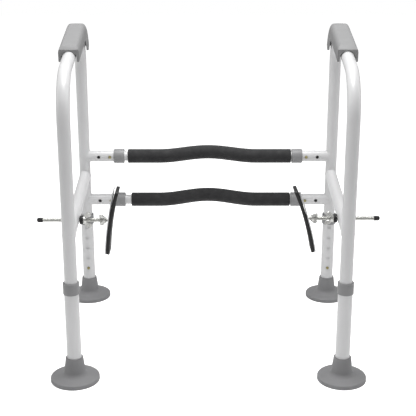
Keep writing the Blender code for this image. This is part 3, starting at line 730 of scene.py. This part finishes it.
class OBJECT_OT_legs(Operator):
    """Lower leg tubes with their adjusting holes, guide collars, rubber feet and snap buttons"""

    bl_idname = "object.safety_legs"
    bl_label = "Legs"

    def execute(self, context):
        sizes = context.scene.frame_sizes
        for side in SIDES:
            for place in PLACES:
                self.leg(sizes, side, place)
                self.collar(sizes, side, place)
                self.foot(sizes, side, place)
                self.button(sizes, side, place)
        return {"FINISHED"}

    def leg_place(self, side, place):
        """On the leg's axis at the floor, turned so that Y points out of its holes."""
        space, half = side_space(side)
        way = 1 if place == "front" else -1
        at = space @ Matrix.Translation((0, -way * half, 0))
        return at if way > 0 else at @ Matrix.Rotation(math.pi, 4, "Z")

    def leg(self, sizes, side, place):
        node = f"{side}_{place}_lower_leg"
        low, high = (corner[2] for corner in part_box(node))
        here = self.leg_place(side, place)
        bm = bmesh.new()
        ends = [here @ Matrix.Translation((0, 0, z)) for z in (low, high)]
        pipe(bm, sizes.leg_tube / 2, sizes.wall, ends)
        tube = new_object(f"{side}_{place}_leg_tube", bm)
        holes = bmesh.new()
        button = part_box(f"{side}_{place}_leg_snap_button")[0][2] + BUTTON_DROP
        for step in range(LEG_HOLES):
            centre = here @ Vector((0, 0, button + step * HOLE_PITCH))
            across = axis_place(centre, here.to_3x3() @ Vector((0, 1, 0)), (0, 0, 1))
            rod_solid(holes, HOLE_RADIUS, across, 0.004, sizes.leg_tube)
        drill(tube, holes)
        finish(tube, node)

    def collar(self, sizes, side, place):
        node = f"{side}_{place}_leg_collar"
        low, high = (corner[2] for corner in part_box(node))
        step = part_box(f"{side}_{place}_lower_leg")[1][2] + 0.0003
        outer = 0.0159
        profile = ring_profile(
            sizes.leg_tube / 2 + 0.0002, sizes.frame_tube / 2 + 0.0002, outer, low, high, step
        )
        bm = bmesh.new()
        turned(bm, profile, self.leg_place(side, place), closed=True)
        finish(new_object(f"{side}_{place}_guide_collar", bm), node)

    def foot(self, sizes, side, place):
        node = f"{side}_{place}_foot"
        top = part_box(node)[1][2]
        rim, socket, bore = 0.0484, 0.017, sizes.leg_tube / 2 + 0.0002
        corners = [
            (0, 0.0035),
            (0.030, 0.0035, 0.004),
            (0.0435, 0.0005, 0.0008),
            (0.0445, 0),
            (rim - 0.0004, 0),
            (rim, 0.0005),
            (rim, 0.0082, 0.0026),
            (0.0335, 0.0115, 0.006),
            (0.0215, 0.0135, 0.0095),
            (0.0190, 0.0345, 0.006),
            (socket, top, 0.0009),
            (bore + 0.0003, top),
            (bore, top - 0.0004),
            (bore, 0.0097),
            (0, 0.0097),
        ]
        bm = bmesh.new()
        turned(bm, rounded(corners, 0, 6), self.leg_place(side, place), 2 * ROUND)
        finish(new_object(f"{side}_{place}_rubber_foot", bm), node, angle=40)

    def button(self, sizes, side, place):
        node = f"{side}_{place}_leg_snap_button"
        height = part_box(node)[0][2] + BUTTON_DROP
        here = self.leg_place(side, place) @ Matrix.Translation((0, 0, height))
        bore = sizes.frame_tube / 2 - sizes.wall
        tip = sizes.leg_tube / 2 + BUTTON_PROUD
        piece = snap_button(f"{side}_{place}_leg_button_spring", here, bore, tip)
        finish(piece, node)


def snap_button(name, place, bore, tip):
    """A domed button on a bent leaf spring. Y of the place points out of the hole, Z up the tube."""
    radius, width, leaf, length = 0.0032, 0.005, 0.0008, 0.034
    bm = bmesh.new()
    out = place @ axis_place((0, 0, 0), (0, 1, 0), (1, 0, 0))
    corners = [(0, bore - 0.0014), (radius, bore - 0.0014), (radius, tip, 0.0016), (0, tip)]
    turned(bm, rounded(corners, 0, 6), out, SMALL)
    back = bore - 0.0012
    bends = [
        (back, -BUTTON_DROP),
        (back, length * 0.80, 0.003),
        (back - 0.0058, length, 0.002),
        (0.0045 - bore, 0.003),
    ]
    points = [Vector((0, y, z)) for y, z in rounded(bends, 0, 5)]
    half, deep = width / 2, leaf / 2
    section = [(-half, -deep), (half, -deep), (half, deep), (-half, deep)]
    leaf_mesh = bmesh.new()
    solid_bar(leaf_mesh, section, places_along(points, (-1, 0, 0)))
    bmesh.ops.recalc_face_normals(leaf_mesh, faces=leaf_mesh.faces)
    bmesh.ops.transform(leaf_mesh, matrix=place, verts=leaf_mesh.verts)
    holder = bpy.data.meshes.new(name + "_leaf")
    leaf_mesh.to_mesh(holder)
    leaf_mesh.free()
    bm.from_mesh(holder)
    bpy.data.meshes.remove(holder)
    return new_object(name, bm)


# ---- crossbars ------------------------------------------------------------------------


def bow_at(sizes, x):
    """How far back a crossbar lies at x."""
    if abs(x) >= sizes.bow_half_length:
        return 0.0
    return sizes.bow * (1 + math.cos(math.pi * x / sizes.bow_half_length)) / 2


def bar_line(sizes, level, start, end):
    """Points of a crossbar's centre line from x start to x end."""
    centre = centre_of(f"left_{level}_stub_tube")
    steps = max(2, int(abs(end - start) / 0.006))
    xs = [start + (end - start) * i / steps for i in range(steps + 1)]
    return [Vector((x, centre.y + bow_at(sizes, x), centre.z)) for x in xs]


class OBJECT_OT_crossbars(Operator):
    """Bowed crossbar tubes, foam sleeves in two halves, end collars and snap buttons"""

    bl_idname = "object.safety_crossbars"
    bl_label = "Crossbars"

    def execute(self, context):
        sizes = context.scene.frame_sizes
        for level in LEVELS:
            self.tube(sizes, level)
            for side, sign in SIDES.items():
                self.foam(sizes, side, sign, level)
                self.collar(sizes, side, sign, level)
                self.button(sizes, side, sign, level)
        return {"FINISHED"}

    def tube(self, sizes, level):
        node = level + "_crossbar_tube"
        low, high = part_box(node)
        bm = bmesh.new()
        places = places_along(bar_line(sizes, level, low[0], high[0]), (0, 0, 1))
        pipe(bm, sizes.bar_tube / 2, sizes.wall, places, SMALL)
        finish(new_object(level + "_crossbar", bm), node)

    def foam(self, sizes, side, sign, level):
        """Half a sleeve, from the middle to its cut end."""
        node = level + "_foam_sleeve"
        low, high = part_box(node)
        end = high[0] if sign > 0 else low[0]
        soft = 0.0016
        line = bar_line(sizes, level, 0, end)
        places = places_along(line, (0, 0, 1))
        radius, bore = sizes.foam / 2, sizes.bar_tube / 2 + 0.0003
        straight = Vector((sign, 0, 0))
        places = places[:-1]
        for turn in (0, 30, 60, 90):
            angle = math.radians(turn)
            size = (radius - soft + soft * math.cos(angle)) / radius
            point = line[-1] - straight * (soft - soft * math.sin(angle))
            places.append(axis_place(point, straight, (0, 0, 1)) @ Matrix.Diagonal((size, size, 1, 1)))
        inner = bore / radius
        shrink = Matrix.Diagonal((inner, inner, 1, 1))
        back = [place @ shrink for place in reversed(places_along(line, (0, 0, 1)))]
        bm = bmesh.new()
        sweep(bm, circle(bm, radius, ROUND, places[0]), [*places, *back, places[0]])
        sleeve = new_object(f"{side}_{level}_foam", bm)
        finish(sleeve, node, angle=60)
        joint = JOINTS[side + "_width_slide"]
        collar = reach_of(f"{side}_{level}_bar_collar")[0]
        room = collar - joint["range_m"][1] - 0.0015
        min(1.0, room / abs(end))
        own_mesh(sleeve)

    def collar(self, sizes, side, sign, level):
        node = f"{side}_{level}_bar_collar"
        centre = centre_of(node)
        low, high = reach_of(node)
        stub = reach_of(f"{side}_{level}_stub_tube")[0]
        place = axis_place((sign * low, centre.y, centre.z), (sign, 0, 0))
        grips, guides = sizes.frame_tube / 2 + 0.0002, sizes.bar_tube / 2 + 0.0002
        profile = ring_profile(guides, grips, 0.01625, 0, high - low, stub - low - 0.0003)
        bm = bmesh.new()
        turned(bm, profile, place, closed=True)
        finish(new_object(f"{side}_{level}_end_collar", bm), node)

    def button(self, sizes, side, sign, level):
        node = f"{side}_{level}_bar_snap_button"
        centre = centre_of(f"{side}_{level}_stub_tube")
        reach = reach_of(node)[1] - BUTTON_DROP
        inward, out = Vector((-sign, 0, 0)), Vector((0, -1, 0))
        place = Matrix((out.cross(inward), out, inward)).transposed().to_4x4()
        place.translation = (sign * reach, centre.y, centre.z)
        bore = sizes.bar_tube / 2 - sizes.wall
        tip = sizes.frame_tube / 2 + BUTTON_PROUD
        piece = snap_button(f"{side}_{level}_bar_button_spring", place, bore, tip)
        finish(piece, node)


# ---- grips ----------------------------------------------------------------------------


class OBJECT_OT_grips(Operator):
    """Saddle-shaped hand grips over the handrails"""

    bl_idname = "object.safety_grips"
    bl_label = "Hand Grips"

    def execute(self, context):
        sizes = context.scene.frame_sizes
        for side in SIDES:
            self.grip(sizes, side)
        return {"FINISHED"}

    def section(self, sizes):
        """The grip's section: across, and up from the tube's centre."""
        half, flat, skirt, lip = sizes.grip_width / 2, 0.011, 0.008, 0.0049
        drop = sizes.grip_top * 0.62
        arch = sizes.frame_tube / 2 + 0.0004
        right = rounded(
            [(half - lip, -skirt + 0.001), (half - lip, -skirt, 0.0009), (half, -skirt, 0.0018), (half, 0)],
            0,
        )
        steps = 10
        for i in range(steps + 1):
            turn = math.pi / 2 * i / steps
            bulge = math.cos(turn) ** 0.9
            right.append((flat + (half - flat) * bulge, sizes.grip_top - drop + drop * math.sin(turn)))
        crown = [(flat / 2, sizes.grip_top + 0.0002), (0, sizes.grip_top + 0.0003)]
        left = [(-x, y) for x, y in reversed(right + crown[:1])]
        under = []
        steps = 20
        for i in range(1, steps):
            turn = math.pi * (1 - i / steps)
            under.append(((half - lip) * math.cos(turn), (arch + 0.002) * math.sin(turn) - 0.002))
        return right + crown + left + under

    def grip(self, sizes, side):
        node = side + "_handle_grip"
        space, half = side_space(side)
        front, wrap, nose = -0.058, math.radians(64), 0.0070
        steps = 24
        bend = bend_pairs(sizes, half, "rear", steps)
        kept = int(round(steps * wrap / (math.pi / 2 + sizes.handrail_slope)))
        start = (front, handrail_z(sizes, front))
        pairs = [start, *bend]
        points = [Vector((0, along, height)) for along, height in pairs]
        places = places_along(points, (-1, 0, 0))[: kept + 2]
        slope = sizes.handrail_slope
        places[0] = axis_place(places[0].translation, (0, math.cos(slope), math.sin(slope)), (-1, 0, 0))
        bm = bmesh.new()
        solid_bar(bm, self.section(sizes), places)
        tip = places[0] @ Vector((0, sizes.grip_top - nose, 0))
        lean = math.radians(40)
        normal = places[0].to_3x3() @ Vector((0, math.cos(lean), -math.sin(lean)))
        every = [*bm.verts, *bm.edges, *bm.faces]
        cut = bmesh.ops.bisect_plane(bm, geom=every, plane_co=tip, plane_no=normal, clear_outer=True)
        edges = [item for item in cut["geom_cut"] if isinstance(item, bmesh.types.BMEdge)]
        bmesh.ops.edgeloop_fill(bm, edges=[edge for edge in edges if edge.is_boundary])
        bmesh.ops.recalc_face_normals(bm, faces=bm.faces)
        sharp = [edge for edge in bm.edges if edge.is_manifold and edge.calc_face_angle() > math.radians(32)]
        bmesh.ops.bevel(
            bm, geom=sharp, affect="EDGES", offset=0.0007, segments=3, profile=0.5, material=-1
        )
        bmesh.ops.transform(bm, matrix=space, verts=bm.verts)
        finish(new_object(side + "_hand_grip", bm), node, angle=50)


# ---- clamps ---------------------------------------------------------------------------


def threaded_bar(bm, sizes, place, start, end):
    """A bar whose skin is one helical thread: its outline turns once and rises by one pitch."""
    crest, root, pitch = sizes.rod / 2, sizes.rod / 2 - 0.00062, sizes.thread_pitch
    turns = int((end - start) / pitch) + 3
    verts = []
    for i in range(turns):
        foot = start + (i - 1) * pitch
        verts.append(bm.verts.new((root, 0, foot)))
        verts.append(bm.verts.new((crest, 0, foot + 0.42 * pitch)))
        verts.append(bm.verts.new((crest, 0, foot + 0.58 * pitch)))
    edges = [bm.edges.new(pair) for pair in zip(verts, verts[1:])]
    steps = SMALL
    rise = (0, 0, pitch / steps)
    bmesh.ops.spin(
        bm, geom=verts + edges, cent=(0, 0, 0), axis=(0, 0, 1), dvec=rise, angle=math.tau, steps=steps
    )
    bmesh.ops.remove_doubles(bm, verts=bm.verts, dist=MERGE)
    for height, way in ((start, -1), (end, 1)):
        every = [*bm.verts, *bm.edges, *bm.faces]
        bmesh.ops.bisect_plane(
            bm, geom=every, plane_co=(0, 0, height), plane_no=(0, 0, way), clear_outer=True
        )
        edge_of = [edge for edge in bm.edges if edge.is_boundary]
        level = [edge for edge in edge_of if all(abs(v.co.z - height) < MERGE for v in edge.verts)]
        bmesh.ops.edgeloop_fill(bm, edges=level)
    bmesh.ops.transform(bm, matrix=place, verts=bm.verts)


def wing(bm, sign, height, span, radius, thickness, hub):
    """One wing of a nut: a round tip that tapers to its root on the hub."""
    points = []
    root = (hub - 0.0016, 0.0024)
    for centre, size in ((root, 0.0021), ((span / 2 - radius, height - radius), radius)):
        for side in (-1, 1):
            across = axis_place((sign * centre[0], side * thickness / 2, centre[1]), (0, 1, 0), (1, 0, 0))
            points += bmesh.ops.create_circle(bm, segments=SMALL, radius=size, matrix=across)["verts"]
    hull = bmesh.ops.convex_hull(bm, input=points)
    inside = [item for item in hull["geom_interior"] if isinstance(item, bmesh.types.BMVert)]
    bmesh.ops.delete(bm, geom=inside, context="VERTS")


class OBJECT_OT_clamps(Operator):
    """Threaded clamp rods with their caps, washers, wing nuts and pads"""

    bl_idname = "object.safety_clamps"
    bl_label = "Clamps"

    def execute(self, context):
        sizes = context.scene.frame_sizes
        for side, sign in SIDES.items():
            self.rod(sizes, side)
            self.cap(sizes, side)
            self.washer(sizes, side)
            for kind in WING_NUTS:
                self.wing_nut(sizes, side, kind)
            self.pad(side, sign)
        return {"FINISHED"}

    def rod(self, sizes, side):
        node = side + "_clamp_rod"
        low, high = reach_of(node)
        pivot = Vector(JOINTS[side + "_pad_tilt"]["pos_m"])
        place = clamp_place(side, 0)
        bm = bmesh.new()
        threaded_bar(bm, sizes, place, low + 0.0075, high - 0.0002)
        eye = axis_place(pivot, (0, 1, 0), (1, 0, 0))
        corners = [(0, -0.003), (0.0024, -0.003, 0.0004), (0.0024, 0.003, 0.0004), (0, 0.003)]
        turned(bm, rounded(corners, 0), eye, SMALL)
        neck = [(0, 0.001), (0.0021, 0.001), (0.0021, 0.0046), (0.0031, 0.0056), (0.0031, 0.009), (0, 0.009)]
        turned(bm, neck, clamp_place(side, abs(pivot.x)), SMALL)
        finish(new_object(side + "_threaded_rod", bm), node)

    def cap(self, sizes, side):
        node = side + "_rod_cap"
        low, high = reach_of(node)
        outer, bore = 0.0049, sizes.rod / 2 + 0.0001
        length = high - low
        corners = [
            (0, length * 0.72),
            (bore, length * 0.72),
            (bore, 0),
            (outer, 0, 0.0006),
            (outer, length * 0.30, 0.002),
            (outer * 0.97, length, 0.0038),
            (0, length),
        ]
        bm = bmesh.new()
        turned(bm, rounded(corners, 0, 7), clamp_place(side, low), SMALL * 2)
        finish(new_object(side + "_end_cap", bm), node)

    def washer(self, sizes, side):
        node = side + "_brace_washer"
        low, high = reach_of(node)
        bore, outer, thick = sizes.rod / 2 + 0.0002, 0.00875, high - low
        corners = [(bore, 0), (outer, 0, 0.001), (outer, thick, 0.001), (bore, thick)]
        bm = bmesh.new()
        turned(bm, rounded(corners, 0), clamp_place(side, low), closed=True)
        finish(new_object(side + "_thick_washer", bm), node)

    def wing_nut(self, sizes, side, kind):
        """A cast nut: hub and wings melted together by a fine remesh."""
        shape = WING_NUTS[kind]
        hub = shape["hub"]
        node = f"{side}_{kind}_wing_nut"
        low, high = reach_of(node)
        height = high - low
        bm = bmesh.new()
        top, bore = height * 0.42, sizes.rod / 2 + 0.0003
        for sign in (-1, 1):
            wing(bm, sign, height, shape["span"], shape["tip"], WING_THICKNESS, hub)
        corners = [
            (bore, 0),
            (hub, 0, 0.0005),
            (hub, top * 0.4, 0.001),
            (hub * 0.82, top, 0.0006),
            (bore, top),
        ]
        turned(bm, rounded(corners, 0), Matrix(), closed=True)
        nut = new_object(f"{side}_{kind}_nut", bm)
        melt = nut.modifiers.new("melt", "REMESH")
        melt.mode = "VOXEL"
        melt.voxel_size = 0.00038
        soften = nut.modifiers.new("soften", "SMOOTH")
        soften.factor = 0.5
        soften.iterations = 5
        apply_modifiers(nut)
        lean = SIDES[side] * math.radians(shape["degrees"][side])
        place = clamp_place(side, low)
        if kind == "drive":
            lean = -lean
            place = clamp_place(side, high) @ Matrix.Rotation(math.pi, 4, "Y")
        nut.data.transform(place @ Matrix.Rotation(math.pi / 2 + lean, 4, "Z"))
        finish(nut, node, angle=80)

    def pad(self, side, sign):
        """The rubber pad, its steel plate with two ears, and the pin through them."""
        pivot = Vector(JOINTS[side + "_pad_tilt"]["pos_m"])
        tilt = math.radians(PAD_TILT[side])
        place = Matrix.Translation(pivot) @ Matrix.Rotation(-sign * tilt, 4, "Y")
        if sign < 0:
            place = place @ Matrix.Rotation(math.pi, 4, "Z")
        window = bmesh.new()
        box(window, (-0.0036, -0.0062, -0.0055), (0.02, 0.0062, 0.0055), place)
        rubber = self.slab(f"{side}_clamp_pad", place, PAD_WIDTH, PAD_HEIGHT, -0.0065, 0.0005, 0.0012, 0.006, 0)
        drill(rubber, window)
        finish(rubber, side + "_pad_rubber")
        window = bmesh.new()
        box(window, (-0.01, -0.0036, -0.0045), (0.01, 0.0036, 0.0045), place)
        plate = self.slab(
            f"{side}_clamp_plate", place, PLATE_WIDTH, PAD_HEIGHT, 0.0008, 0.0028, 0.0004, 0.005, PLATE_FLARE
        )
        drill(plate, window)
        ears = bmesh.new()
        for way in (-1, 1):
            along = place.to_3x3() @ Vector((0, 1, 0))
            at = axis_place(place @ Vector((0, way * 0.0043, 0)), along, (0, 0, 1))
            rod_solid(ears, 0.0024, at, -0.0007, 0.0007)
        ears.from_mesh(plate.data)
        ears.to_mesh(plate.data)
        ears.free()
        finish(plate, side + "_pad_plate")
        pin = bmesh.new()
        across = axis_place(pivot, (0, 1, 0), (1, 0, 0))
        corners = [(0, -0.0053), (0.0012, -0.0053, 0.0004), (0.0012, 0.0053, 0.0004), (0, 0.0053)]
        turned(pin, rounded(corners, 0), across, SMALL)
        finish(new_object(side + "_pad_pin", pin), side + "_pad_pivot_pin")

    def slab(self, name, place, width, height, inner, outer, soft, corner, flare):
        """A bowed plate with rounded corners. inner and outer are its faces, out from the pin's axis."""
        bm = bmesh.new()
        half, tall, steps = width / 2 - corner, height / 2 - corner, 6
        ring = []
        for quarter, (y, z) in enumerate(((half, tall), (-half, tall), (-half, -tall), (half, -tall))):
            for i in range(steps + 1):
                turn = math.pi / 2 * (quarter + i / steps)
                ring.append((y + corner * math.cos(turn), z + corner * math.sin(turn)))
        upright = Matrix(((0, 0, 1, inner), (1, 0, 0, 0), (0, 1, 0, 0), (0, 0, 0, 1)))
        far = Matrix.Translation((outer - inner, 0, 0)) @ upright
        solid_bar(bm, ring, [upright, far])
        bmesh.ops.recalc_face_normals(bm, faces=bm.faces)
        rims = [edge for edge in bm.edges if edge.calc_face_angle() > math.radians(60)]
        bmesh.ops.bevel(bm, geom=rims, affect="EDGES", offset=soft, segments=3, profile=0.5, material=-1)
        rows = 28
        for i in range(1, rows):
            level = (0, 0, height * (i / rows - 0.5))
            every = [*bm.verts, *bm.edges, *bm.faces]
            bmesh.ops.bisect_plane(bm, geom=every, plane_co=level, plane_no=(0, 0, 1))
        for vert in bm.verts:
            t = vert.co.z / (height / 2)
            vert.co.x += flare * max(t, 0) ** 1.5 - PAD_BOW * t * t
        bmesh.ops.transform(bm, matrix=place, verts=bm.verts)
        return new_object(name, bm)


def box(bm, low, high, place):
    low, high = Vector(low), Vector(high)
    made = bmesh.ops.create_cube(bm, size=1)
    bmesh.ops.scale(bm, vec=high - low, verts=made["verts"])
    bmesh.ops.translate(bm, vec=(low + high) / 2, verts=made["verts"])
    bmesh.ops.transform(bm, matrix=place, verts=made["verts"])


# ---- stage ----------------------------------------------------------------------------


class OBJECT_OT_stage(Operator):
    """A plain pale floor, soft studio light and the camera"""

    bl_idname = "object.safety_stage"
    bl_label = "Stage"

    def execute(self, context):
        self.floor()
        self.world(context.scene)
        self.light("top", (0, 0, 2.4), 1.5, 52)
        self.light("left", (-2.2, 0.3, 1.0), 1.6, 7)
        self.light("right", (2.2, 0.3, 1.0), 1.6, 7)
        self.camera(context.scene)
        context.scene.view_settings.view_transform = "Standard"
        return {"FINISHED"}

    def floor(self):
        bm = bmesh.new()
        bmesh.ops.create_grid(bm, x_segments=1, y_segments=1, size=6)
        floor = new_object("studio_floor", bm)
        graph = Graph("studio_floor")
        cloud = graph.noise(1.5, 2)
        graph.set(Base_Color=graph.blend(cloud, (0.93, 0.93, 0.93), (0.95, 0.95, 0.95)), Roughness=0.8)
        glow = graph.node("ShaderNodeEmission", {}, {"Color": (1, 1, 1, 1), "Strength": 0.68})
        both = graph.node("ShaderNodeAddShader", {}, {0: graph.shader.outputs[0], 1: glow.outputs[0]})
        seen = graph.node("ShaderNodeLightPath", {}, {}).outputs["Is Camera Ray"]
        shaders = {0: seen, 1: graph.shader.outputs[0], 2: both.outputs[0]}
        mix = graph.node("ShaderNodeMixShader", {}, shaders)
        graph.feed(graph.tree.nodes["Material Output"].inputs["Surface"], mix.outputs[0])
        floor.data.materials.append(graph.material)

    def world(self, scene):
        world = bpy.data.worlds.new("studio")
        scene.world = world
        world.use_nodes = True
        tree = world.node_tree
        dim = tree.nodes["Background"]
        dim.inputs["Strength"].default_value = 0.38
        white = tree.nodes.new("ShaderNodeBackground")
        white.inputs["Strength"].default_value = 1.0
        for shader in (dim, white):
            shader.inputs["Color"].default_value = (1, 1, 1, 1)
        seen = tree.nodes.new("ShaderNodeLightPath").outputs["Is Camera Ray"]
        mix = tree.nodes.new("ShaderNodeMixShader")
        for source, socket in ((seen, 0), (dim.outputs[0], 1), (white.outputs[0], 2)):
            tree.links.new(source, mix.inputs[socket])
        tree.links.new(mix.outputs[0], tree.nodes["World Output"].inputs["Surface"])

    def light(self, name, place, size, power):
        data = bpy.data.lights.new(name, "AREA")
        data.shape = "DISK"
        data.size = size
        data.energy = power
        light = bpy.data.objects.new(name, data)
        light.location = place
        light.rotation_euler = (Vector((0, 0, 0.3)) - Vector(place)).to_track_quat("-Z", "Y").to_euler()
        bpy.context.scene.collection.objects.link(light)

    def camera(self, scene):
        data = bpy.data.cameras.new("camera")
        data.sensor_width = 36
        data.lens = 82.87
        camera = bpy.data.objects.new("camera", data)
        camera.location = (-0.0047, -1.9222, 0.9085)
        camera.rotation_euler = (math.radians(90 - 17.89), 0, math.radians(-0.127))
        scene.collection.objects.link(camera)
        scene.camera = camera


class VIEW3D_PT_safety_frame(Panel):
    """The frame's sizes, colours and pieces"""

    bl_label = "Safety Frame"
    bl_space_type = "VIEW_3D"
    bl_region_type = "UI"
    bl_category = "Safety Frame"

    def draw(self, context):
        layout = self.layout
        for settings in (context.scene.frame_sizes, context.scene.frame_colours):
            column = layout.column(align=True)
            for name in type(settings).__annotations__:
                column.prop(settings, name)
        column = layout.column(align=True)
        for operator in OPERATORS:
            column.operator(operator.bl_idname)


OPERATORS = (
    OBJECT_OT_side_frames,
    OBJECT_OT_legs,
    OBJECT_OT_crossbars,
    OBJECT_OT_grips,
    OBJECT_OT_clamps,
    OBJECT_OT_stage,
)
CLASSES = (FrameSizes, FrameColours, *OPERATORS, VIEW3D_PT_safety_frame)


def register():
    for each in CLASSES:
        bpy.utils.register_class(each)
    bpy.types.Scene.frame_sizes = PointerProperty(type=FrameSizes)
    bpy.types.Scene.frame_colours = PointerProperty(type=FrameColours)


def unregister():
    del bpy.types.Scene.frame_colours
    del bpy.types.Scene.frame_sizes
    for each in reversed(CLASSES):
        bpy.utils.unregister_class(each)


def main():
    register()
    bpy.ops.object.safety_side_frames()
    bpy.ops.object.safety_legs()
    bpy.ops.object.safety_crossbars()
    bpy.ops.object.safety_grips()
    bpy.ops.object.safety_clamps()
    bpy.ops.object.safety_stage()


if __name__ == "__main__":
    main()
